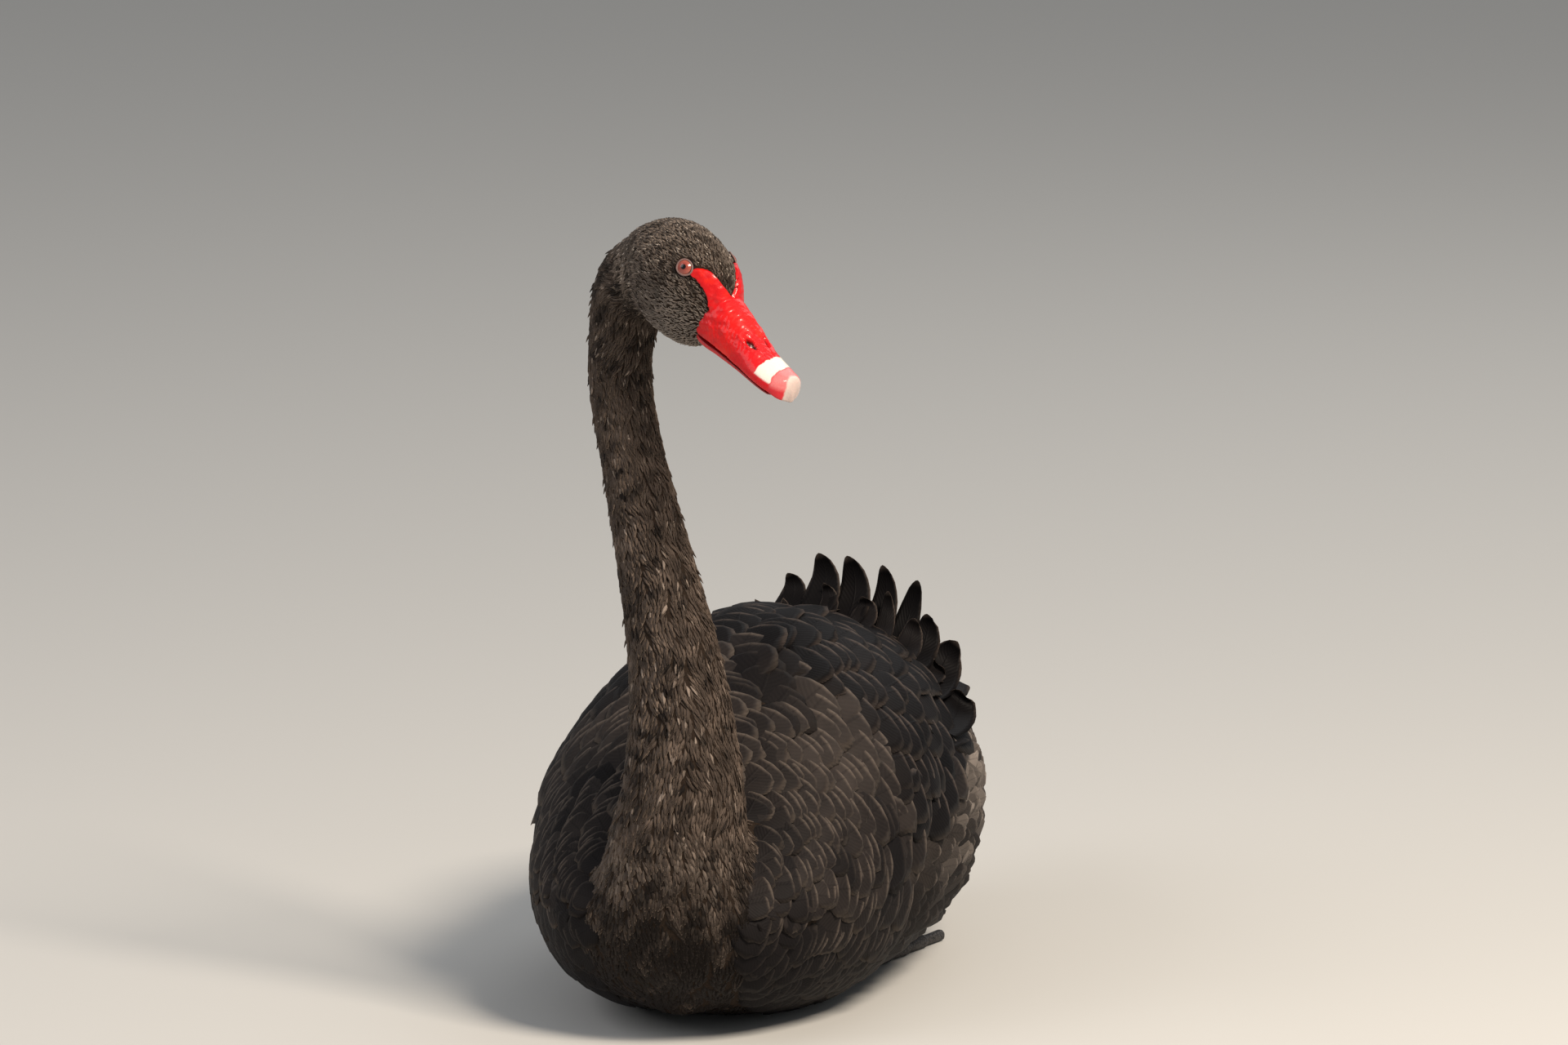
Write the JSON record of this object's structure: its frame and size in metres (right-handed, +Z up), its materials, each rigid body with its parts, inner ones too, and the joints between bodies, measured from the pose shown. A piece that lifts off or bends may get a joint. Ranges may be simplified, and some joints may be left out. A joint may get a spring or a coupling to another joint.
{
  "type": "black swan",
  "caption": "Life-size still model of a black swan resting on its belly, neck upright and head turned to its left, with folded wings and curled tertial feathers.",
  "frame": {"origin": "centre of the bird's outline on the floor, under its belly", "axes": "+Z up, the breast faces -Y, the tail points to +Y and the bird's left side is at +X"},
  "size_m": [0.2637, 0.5742, 0.501],
  "materials": {
    "body_feathers": "brown-black body feathers with paler fringes, soft and matte",
    "neck_feathers": "short brown-black neck feathers in small damp tufts",
    "head_feathers": "velvety near-black head feathers",
    "wing_feathers": "broad brown-black vanes with a soft sheen and paler edges",
    "bill": "glossy red bill with a white band and a pale nail",
    "eye": "wet coral-red iris with a small black pupil",
    "foot_skin": "dark grey-black scaly skin and webs"
  },
  "bodies": {
    "root": {"torso": "body_feathers", "neck_lower": "neck_feathers", "neck_middle": "neck_feathers", "neck_upper": "neck_feathers", "head": "head_feathers", "bill_upper": "bill", "bill_lower": "bill", "eye_right": "eye", "eye_left": "eye", "wing_right": "wing_feathers", "wing_left": "wing_feathers", "tail": "wing_feathers", "foot_right": "foot_skin", "foot_left": "foot_skin"}
  },
  "joints": []
}
